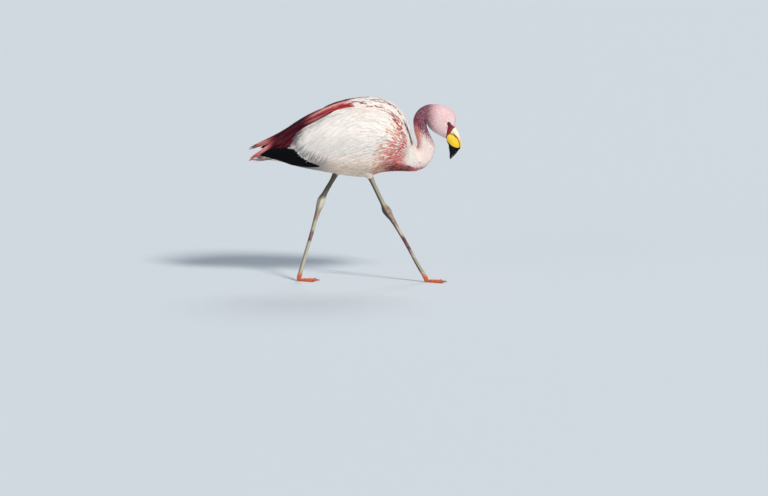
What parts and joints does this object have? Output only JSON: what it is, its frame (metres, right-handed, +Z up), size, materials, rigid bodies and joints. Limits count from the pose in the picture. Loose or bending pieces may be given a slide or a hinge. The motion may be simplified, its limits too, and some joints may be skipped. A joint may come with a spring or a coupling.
{
  "type": "puna flamingo",
  "caption": "Life-size still figure of a small flamingo walking with its head lowered, neck folded in an S and one webbed foot forward.",
  "frame": {"origin": "on the floor, under the middle of the bird's box", "axes": "+X the way the bird walks and looks, +Y to the bird's left, +Z up"},
  "size_m": [0.5306, 0.163, 0.4677],
  "materials": {
    "plumage": "matte white to cream feathers with a pink flush",
    "pink_plumage": "matte short rose-pink feathers",
    "crimson_plumage": "soft long crimson plumes, darker at the root",
    "black_plumage": "smooth black flight feathers",
    "bill": "satin horn, yellow below, cream above, black at the tip",
    "eye": "wet gloss, dark pupil in an amber iris",
    "leg_skin": "matte scaled skin, grey-beige with pink patches",
    "foot_skin": "matte scaled skin and web, orange-red",
    "claw": "satin dark horn"
  },
  "bodies": {
    "root": {"trunk": "plumage", "neck_base": "plumage", "neck_middle": "pink_plumage", "neck_upper": "pink_plumage", "head": "pink_plumage", "bill_upper": "bill", "bill_lower": "bill", "tail": "plumage", "eye_right": "eye", "wing_right": "plumage", "plumes_right": "crimson_plumage", "flight_feathers_right": "black_plumage", "thigh_right": "plumage", "shank_right": "leg_skin", "ankle_right": "leg_skin", "tarsus_right": "leg_skin", "foot_right": "foot_skin", "claw_right_inner": "claw", "claw_right_middle": "claw", "claw_right_outer": "claw", "eye_left": "eye", "wing_left": "plumage", "plumes_left": "crimson_plumage", "flight_feathers_left": "black_plumage", "thigh_left": "plumage", "shank_left": "leg_skin", "ankle_left": "leg_skin", "tarsus_left": "leg_skin", "foot_left": "foot_skin", "claw_left_inner": "claw", "claw_left_middle": "claw", "claw_left_outer": "claw"}
  },
  "joints": []
}
